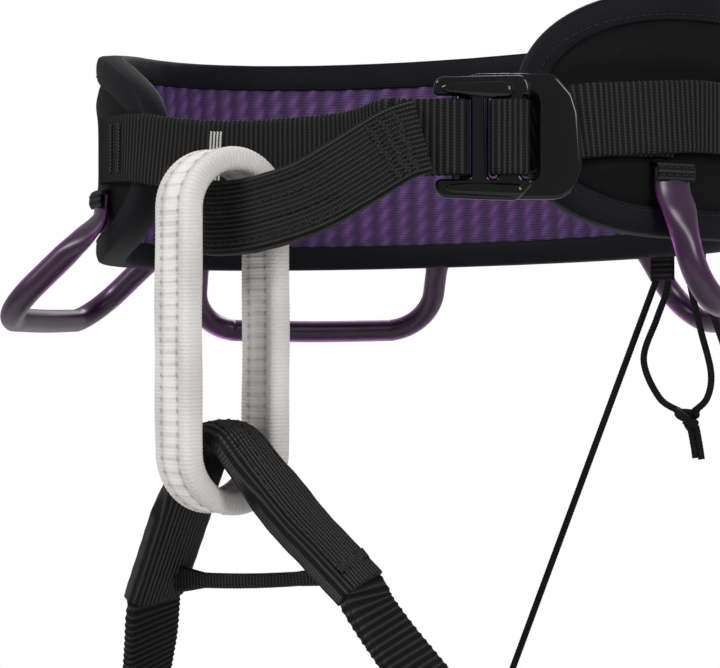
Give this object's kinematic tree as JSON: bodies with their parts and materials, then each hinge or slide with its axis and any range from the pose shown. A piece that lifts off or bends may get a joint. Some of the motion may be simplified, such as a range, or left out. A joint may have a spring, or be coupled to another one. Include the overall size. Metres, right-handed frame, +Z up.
{
  "type": "climbing harness",
  "caption": "Padded climbing sit harness with a belay loop, buckled waist belt and leg loops, and gear loops.",
  "frame": {"origin": "centre of the waist belt at its mid height, where the wearer's waist passes through", "axes": "+Z up along the wearer's body, the front of the harness faces -Y, +X towards the wearer's left"},
  "size_m": [0.3827, 0.2922, 0.3751],
  "materials": {
    "foam": "matte",
    "mesh_lining": "matte",
    "binding": "matte",
    "shell": "matte",
    "belay_webbing": "satin",
    "gear_tube": "satin",
    "cord": "matte",
    "anodised": "gloss",
    "webbing": "matte"
  },
  "bodies": {
    "waist": {"waist_shell": "shell", "waist_foam": "foam", "waist_lining": "mesh_lining", "waist_binding": "binding", "waist_webbing_core": "webbing", "waist_webbing_left": "webbing", "tie_in_sleeve": "webbing", "buckle_frame": "anodised", "waist_webbing_right": "webbing", "waist_tail": "webbing", "gear_loop_tabs": "webbing", "haul_tab": "webbing", "riser_tabs": "webbing", "bridge_sleeve": "webbing", "bridge_webbing": "webbing", "bridge_cross_strap": "webbing", "riser_left": "cord", "riser_right": "cord", "adjuster_loop": "cord", "adjuster_knot": "cord"},
    "waist_plate": {"buckle_plate": "anodised", "buckle_wrap": "webbing"},
    "keeper_front": {"tail_keeper_front": "webbing"},
    "keeper_rear": {"tail_keeper_rear": "webbing"},
    "belay": {"belay_loop": "belay_webbing"},
    "gear_left_front": {"gear_left_front_tube": "gear_tube", "gear_left_front_core": "cord"},
    "gear_left_rear": {"gear_left_rear_tube": "gear_tube", "gear_left_rear_core": "cord"},
    "gear_right_front": {"gear_right_front_tube": "gear_tube", "gear_right_front_core": "cord"},
    "gear_right_rear": {"gear_right_rear_tube": "gear_tube", "gear_right_rear_core": "cord"},
    "haul": {"haul_loop": "webbing"},
    "leg_left": {"leg_left_shell": "shell", "leg_left_foam": "foam", "leg_left_lining": "mesh_lining", "leg_left_binding": "binding", "leg_left_strap": "webbing", "leg_left_webbing": "webbing", "leg_left_tail": "webbing", "leg_left_riser_tab": "webbing", "leg_left_buckle_frame": "anodised"},
    "leg_left_plate": {"leg_left_buckle_plate": "anodised", "leg_left_buckle_wrap": "webbing"},
    "leg_left_tail_keeper": {"leg_left_keeper": "webbing"},
    "leg_right": {"leg_right_shell": "shell", "leg_right_foam": "foam", "leg_right_lining": "mesh_lining", "leg_right_binding": "binding", "leg_right_strap": "webbing", "leg_right_webbing": "webbing", "leg_right_tail": "webbing", "leg_right_riser_tab": "webbing", "leg_right_buckle_frame": "anodised"},
    "leg_right_plate": {"leg_right_buckle_plate": "anodised", "leg_right_buckle_wrap": "webbing"},
    "leg_right_tail_keeper": {"leg_right_keeper": "webbing"}
  },
  "joints": [
    {"name": "waist_plate_tilt", "type": "hinge", "parent": "waist", "child": "waist_plate", "pos_m": [0.08525, -0.10233, -0.00707], "axis": [0, 0, -1], "range_deg": [0, 14], "stiffness_Nm_per_rad": 0.05},
    {"name": "keeper_front_slide", "type": "slide", "parent": "waist", "child": "keeper_front", "axis": [-0.0422, 0.9991, 0], "range_m": [-0.004, 0.004]},
    {"name": "keeper_rear_slide", "type": "slide", "parent": "waist", "child": "keeper_rear", "axis": [-0.4028, 0.9153, 0], "range_m": [-0.004, 0.004]},
    {"name": "belay_loop_turn", "type": "hinge", "parent": "waist", "child": "belay", "pos_m": [0.0115, -0.134, -0.071], "axis": [0, 0, 1], "range_deg": [-4, 5]},
    {"name": "gear_left_front_swing", "type": "hinge", "parent": "waist", "child": "gear_left_front", "pos_m": [0.12731, 0.0084, -0.02574], "axis": [0.0944, -0.9955, 0], "range_deg": [-6, 60], "stiffness_Nm_per_rad": 0.6},
    {"name": "gear_left_rear_swing", "type": "hinge", "parent": "waist", "child": "gear_left_rear", "pos_m": [0.072, 0.08953, -0.02693], "axis": [0.8729, -0.4878, 0], "range_deg": [-12, 50], "stiffness_Nm_per_rad": 0.6},
    {"name": "gear_right_front_swing", "type": "hinge", "parent": "waist", "child": "gear_right_front", "pos_m": [-0.11203, -0.03789, -0.03093], "axis": [-0.4372, 0.8993, 0], "range_deg": [-16, 35], "stiffness_Nm_per_rad": 0.6},
    {"name": "gear_right_rear_swing", "type": "hinge", "parent": "waist", "child": "gear_right_rear", "pos_m": [-0.09727, 0.06602, -0.03061], "axis": [0.6985, 0.7156, 0], "range_deg": [-12, 50], "stiffness_Nm_per_rad": 0.6},
    {"name": "haul_loop_swing", "type": "hinge", "parent": "waist", "child": "haul", "pos_m": [-0.01645, 0.11157, -0.00857], "axis": [0.9949, 0.101, 0], "range_deg": [0, 72]},
    {"name": "leg_left_swing", "type": "hinge", "parent": "waist", "child": "leg_left", "pos_m": [0.06249, -0.1251, -0.15743], "axis": [0.9868, -0.1387, 0.0837], "range_deg": [-10, 18], "stiffness_Nm_per_rad": 4, "springref_deg": 1.72, "deforming": ["riser_left"]},
    {"name": "leg_left_plate_tilt", "type": "hinge", "parent": "leg_left", "child": "leg_left_plate", "pos_m": [0.17483, -0.11744, -0.22488], "axis": [0.2706, -0.2307, -0.9346], "range_deg": [0, 14], "stiffness_Nm_per_rad": 0.05},
    {"name": "leg_left_keeper_slide", "type": "slide", "parent": "leg_left", "child": "leg_left_tail_keeper", "axis": [-0.1291, 0.9534, -0.2727], "range_m": [-0.003, 0.003]},
    {"name": "leg_right_swing", "type": "hinge", "parent": "waist", "child": "leg_right", "pos_m": [-0.03816, -0.11095, -0.16596], "axis": [0.9868, -0.1387, 0.0837], "range_deg": [-10, 18], "stiffness_Nm_per_rad": 4, "springref_deg": 1.72, "deforming": ["riser_right"]},
    {"name": "leg_right_plate_tilt", "type": "hinge", "parent": "leg_right", "child": "leg_right_plate", "pos_m": [-0.13137, -0.07441, -0.25085], "axis": [0.1652, 0.1695, 0.9716], "range_deg": [0, 14], "stiffness_Nm_per_rad": 0.05},
    {"name": "leg_right_keeper_slide", "type": "slide", "parent": "leg_right", "child": "leg_right_tail_keeper", "axis": [0.4284, 0.875, -0.2255], "range_m": [-0.003, 0.003]}
  ]
}
